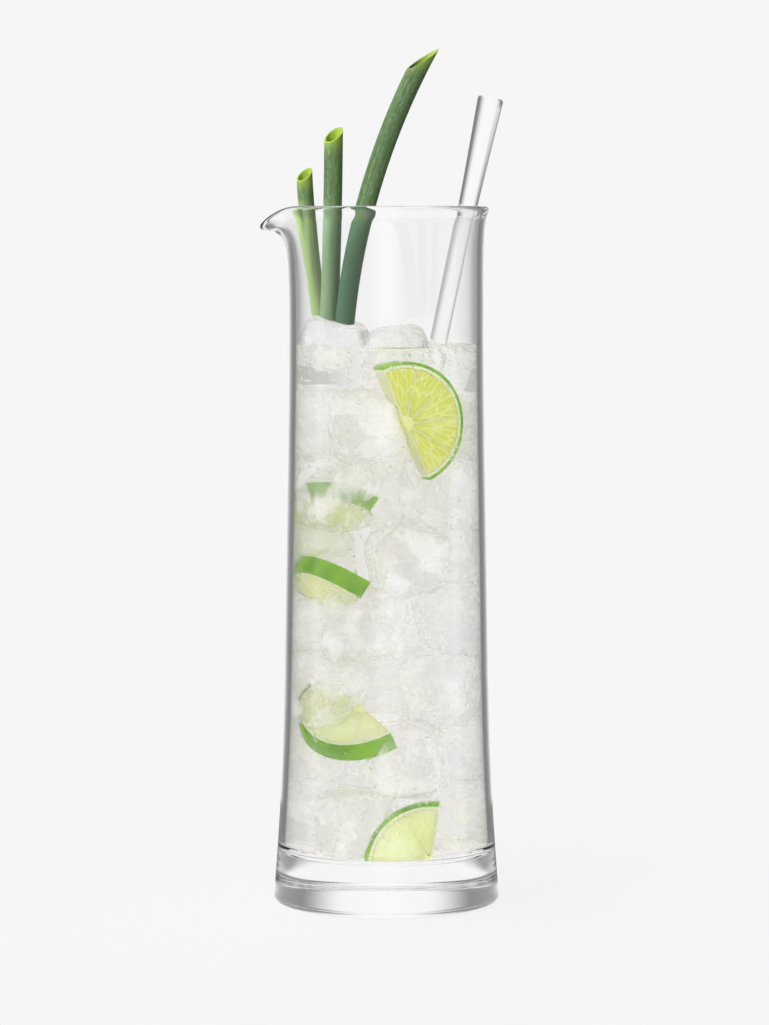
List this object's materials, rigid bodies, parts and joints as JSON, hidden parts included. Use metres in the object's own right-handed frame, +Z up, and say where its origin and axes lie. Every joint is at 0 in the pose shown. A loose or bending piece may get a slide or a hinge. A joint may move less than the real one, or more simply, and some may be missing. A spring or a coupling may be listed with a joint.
{
  "type": "cocktail pitcher",
  "caption": "Tall waisted glass pitcher with a pulled pouring lip and a thick base, holding an iced drink with lime slices, spring onion leaves and a glass stirring rod.",
  "frame": {"origin": "centre of the foot, on the table", "axes": "+Z up along the pitcher's axis, -X towards the pouring lip, -Y towards the camera of the picture"},
  "size_m": [0.0986, 0.0924, 0.3482],
  "materials": {
    "clear_glass": "gloss",
    "drink": "gloss",
    "ice": "gloss",
    "lime_peel": "satin",
    "lime_pith": "matte",
    "lime_segments": "gloss",
    "leaf": "satin"
  },
  "bodies": {
    "pitcher": {"pitcher_glass": "clear_glass"},
    "iced_drink": {"drink": "drink", "ice_perch": "ice", "ice_floe": "ice", "ice_cube_01": "ice", "ice_cube_02": "ice", "ice_cube_03": "ice", "ice_cube_04": "ice", "ice_cube_05": "ice", "ice_cube_06": "ice", "ice_cube_07": "ice", "ice_cube_08": "ice", "ice_cube_09": "ice", "ice_cube_10": "ice", "ice_cube_11": "ice", "ice_cube_12": "ice", "ice_cube_13": "ice", "ice_cube_14": "ice", "ice_cube_15": "ice", "ice_cube_16": "ice", "ice_cube_17": "ice", "ice_cube_18": "ice", "ice_cube_19": "ice", "ice_cube_20": "ice", "ice_cube_21": "ice", "lime_top_peel": "lime_peel", "lime_top_pith": "lime_pith", "lime_top_segments": "lime_segments", "lime_upper_peel": "lime_peel", "lime_upper_pith": "lime_pith", "lime_upper_segments": "lime_segments", "lime_middle_peel": "lime_peel", "lime_middle_pith": "lime_pith", "lime_middle_segments": "lime_segments", "lime_lower_peel": "lime_peel", "lime_lower_pith": "lime_pith", "lime_lower_segments": "lime_segments", "lime_floor_peel": "lime_peel", "lime_floor_pith": "lime_pith", "lime_floor_segments": "lime_segments"},
    "stirrer": {"stirrer": "clear_glass"},
    "left_leaf": {"spring_onion_left": "leaf"},
    "middle_leaf": {"spring_onion_middle": "leaf"},
    "right_leaf": {"spring_onion_right": "leaf"}
  },
  "joints": [
    {"name": "stir", "type": "hinge", "parent": "pitcher", "child": "iced_drink", "pos_m": [0, 0, 0.12], "axis": [0, 0, 1], "continuous": true},
    {"name": "stirrer_lift", "type": "slide", "parent": "iced_drink", "child": "stirrer", "axis": [0.2059, -0.0545, 0.9771], "range_m": [0, 0.28]},
    {"name": "left_leaf_lift", "type": "slide", "parent": "iced_drink", "child": "left_leaf", "axis": [-0.105, 0, 0.9945], "range_m": [0, 0.06]},
    {"name": "middle_leaf_lift", "type": "slide", "parent": "iced_drink", "child": "middle_leaf", "axis": [0.026, 0, 0.9997], "range_m": [0, 0.06]},
    {"name": "right_leaf_lift", "type": "slide", "parent": "iced_drink", "child": "right_leaf", "axis": [0.269, 0, 0.9631], "range_m": [0, 0.06]}
  ]
}
